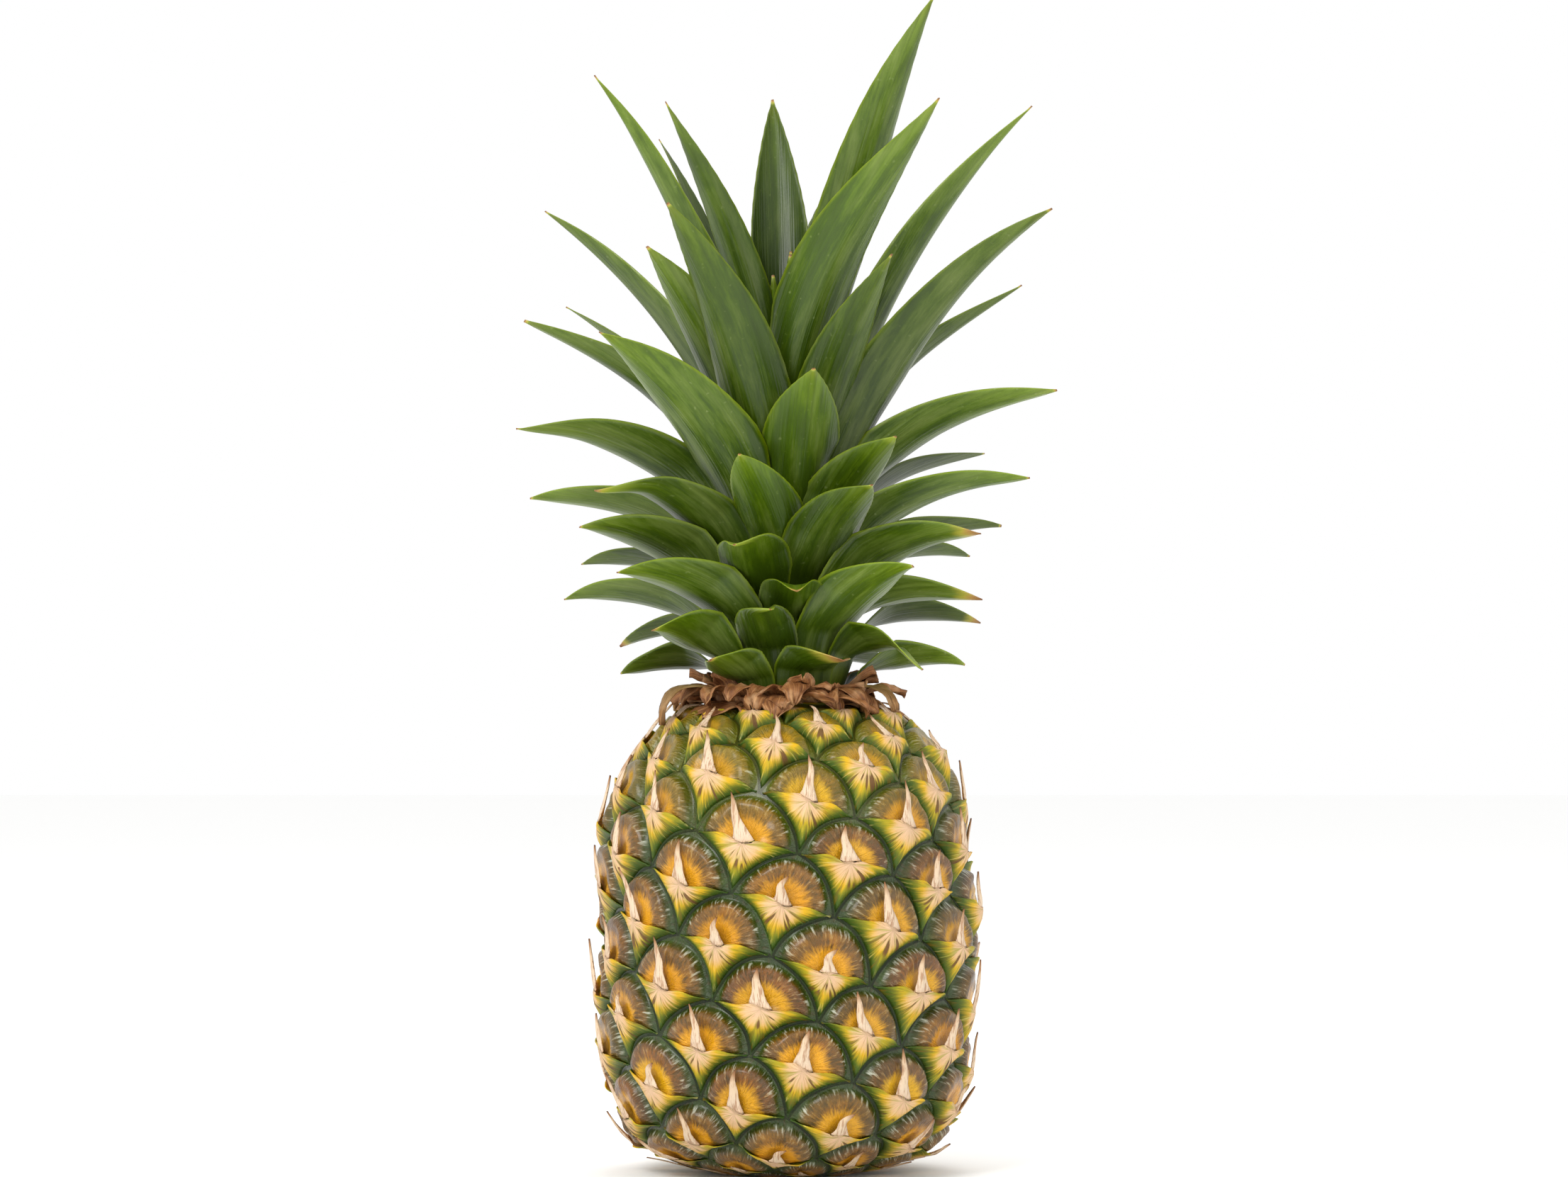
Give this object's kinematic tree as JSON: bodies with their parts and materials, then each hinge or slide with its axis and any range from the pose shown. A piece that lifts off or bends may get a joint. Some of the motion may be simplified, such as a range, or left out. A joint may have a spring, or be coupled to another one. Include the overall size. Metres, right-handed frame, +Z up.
{
  "type": "pineapple",
  "caption": "Whole fresh pineapple standing upright on its own flat base, with a spiny spiral-eyed rind, a dry collar of bracts and a full crown of stiff leaves.",
  "frame": {"origin": "centre of the flat base that the fruit stands on", "axes": "+Z up along the fruit's own axis, from the base to the crown; -Y is the front"},
  "size_m": [0.1782, 0.156, 0.3919],
  "materials": {
    "rind": "waxy, semi-matt",
    "leaf": "waxy, semi-matt",
    "stem": "matt",
    "dry_bract": "matt"
  },
  "bodies": {
    "root": {"fruit_body": "rind", "crown_stem": "stem", "dry_collar": "dry_bract", "leaf_01": "leaf", "leaf_02": "leaf", "leaf_03": "leaf", "leaf_04": "leaf", "leaf_05": "leaf", "leaf_06": "leaf", "leaf_07": "leaf", "leaf_08": "leaf", "leaf_09": "leaf", "leaf_10": "leaf", "leaf_11": "leaf", "leaf_12": "leaf", "leaf_13": "leaf", "leaf_14": "leaf", "leaf_15": "leaf", "leaf_16": "leaf", "leaf_17": "leaf", "leaf_18": "leaf", "leaf_19": "leaf", "leaf_20": "leaf", "leaf_21": "leaf", "leaf_22": "leaf", "leaf_23": "leaf", "leaf_24": "leaf", "leaf_25": "leaf", "leaf_26": "leaf", "leaf_27": "leaf", "leaf_28": "leaf", "leaf_29": "leaf", "leaf_30": "leaf", "leaf_31": "leaf", "leaf_32": "leaf", "leaf_33": "leaf", "leaf_34": "leaf", "leaf_35": "leaf", "leaf_36": "leaf", "leaf_37": "leaf", "leaf_38": "leaf", "leaf_39": "leaf", "leaf_40": "leaf", "leaf_41": "leaf", "leaf_42": "leaf", "leaf_43": "leaf", "leaf_44": "leaf", "leaf_45": "leaf", "leaf_46": "leaf", "leaf_47": "leaf", "leaf_48": "leaf", "leaf_49": "leaf", "leaf_50": "leaf", "leaf_51": "leaf", "leaf_52": "leaf", "leaf_53": "leaf", "leaf_54": "leaf", "leaf_55": "leaf", "leaf_56": "leaf", "leaf_57": "leaf"}
  },
  "joints": []
}
